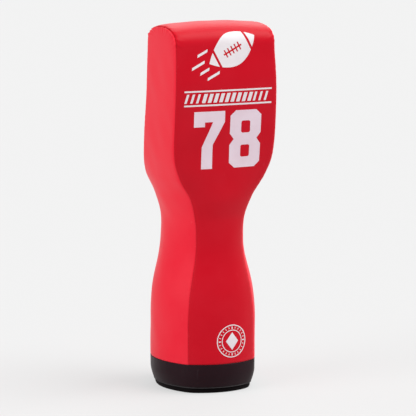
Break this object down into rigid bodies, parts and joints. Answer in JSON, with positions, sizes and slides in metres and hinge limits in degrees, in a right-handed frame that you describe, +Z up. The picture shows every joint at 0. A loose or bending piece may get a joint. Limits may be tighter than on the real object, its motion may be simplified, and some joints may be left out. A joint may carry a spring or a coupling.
{
  "type": "tackling dummy",
  "caption": "Free-standing tackling dummy: a sewn two-tone vinyl cover over a foam core, with an arched boxy chest, a drawn-in waist, a round weighted base in a black boot and back handles.",
  "frame": {"origin": "on the floor under the centre of the base, in the middle of the sole's flat bottom", "axes": "+Z up along the dummy's height, front of the chest towards -Y, +X towards the side that is on the right when the front is faced"},
  "size_m": [0.4192, 0.4275, 1.3716],
  "materials": {
    "front_vinyl": "satin",
    "side_vinyl": "satin",
    "boot_vinyl": "satin",
    "sole_rubber": "matte",
    "core_foam": "closed-cell foam",
    "pad_foam": "open-cell foam",
    "ballast_rubber": "matte",
    "webbing": "woven",
    "grip_vinyl": "matte",
    "zip_tape": "woven",
    "zinc": "satin",
    "brass": "satin"
  },
  "bodies": {
    "dummy": {"front_panel": "front_vinyl", "back_panel": "front_vinyl", "side_panel_left": "side_vinyl", "side_panel_right": "side_vinyl", "boot_wall": "boot_vinyl", "boot_welt": "boot_vinyl", "sole": "sole_rubber", "core_base_block": "core_foam", "core_waist_block": "core_foam", "core_chest_block": "core_foam", "strike_pad": "pad_foam", "ballast_disc": "ballast_rubber", "zip_tape_left": "zip_tape", "zip_tape_right": "zip_tape", "zip_top_stop": "zinc", "zip_bottom_stop": "zinc", "handle_left_upper_patch": "grip_vinyl", "handle_left_lower_patch": "grip_vinyl", "handle_left_upper_tab": "webbing", "handle_left_lower_tab": "webbing", "handle_right_upper_patch": "grip_vinyl", "handle_right_lower_patch": "grip_vinyl", "handle_right_upper_tab": "webbing", "handle_right_lower_tab": "webbing", "vent_eyelet_1": "brass", "vent_eyelet_2": "brass", "vent_eyelet_3": "brass", "vent_eyelet_4": "brass", "vent_washer_1": "brass", "vent_washer_2": "brass", "vent_washer_3": "brass", "vent_washer_4": "brass"},
    "slider": {"zip_slider": "zinc"},
    "pull": {"zip_pull": "zinc"},
    "left_handle": {"handle_left_loop": "webbing", "handle_left_grip": "grip_vinyl"},
    "right_handle": {"handle_right_loop": "webbing", "handle_right_grip": "grip_vinyl"}
  },
  "joints": [
    {"name": "slider_run", "type": "slide", "parent": "dummy", "child": "slider", "axis": [0, -0.0341, 0.9994], "range_m": [-0.455, 0]},
    {"name": "pull_hinge", "type": "hinge", "parent": "slider", "child": "pull", "pos_m": [0, 0.19246, 0.64121], "axis": [1, 0, 0], "range_deg": [0, 165]},
    {"name": "left_handle_swing", "type": "hinge", "parent": "dummy", "child": "left_handle", "pos_m": [-0.11, 0.08033, 1.08551], "axis": [0, -0.0863, 0.9963], "range_deg": [-35, 35]},
    {"name": "right_handle_swing", "type": "hinge", "parent": "dummy", "child": "right_handle", "pos_m": [0.11, 0.08033, 1.08551], "axis": [0, -0.0863, 0.9963], "range_deg": [-35, 35]}
  ]
}
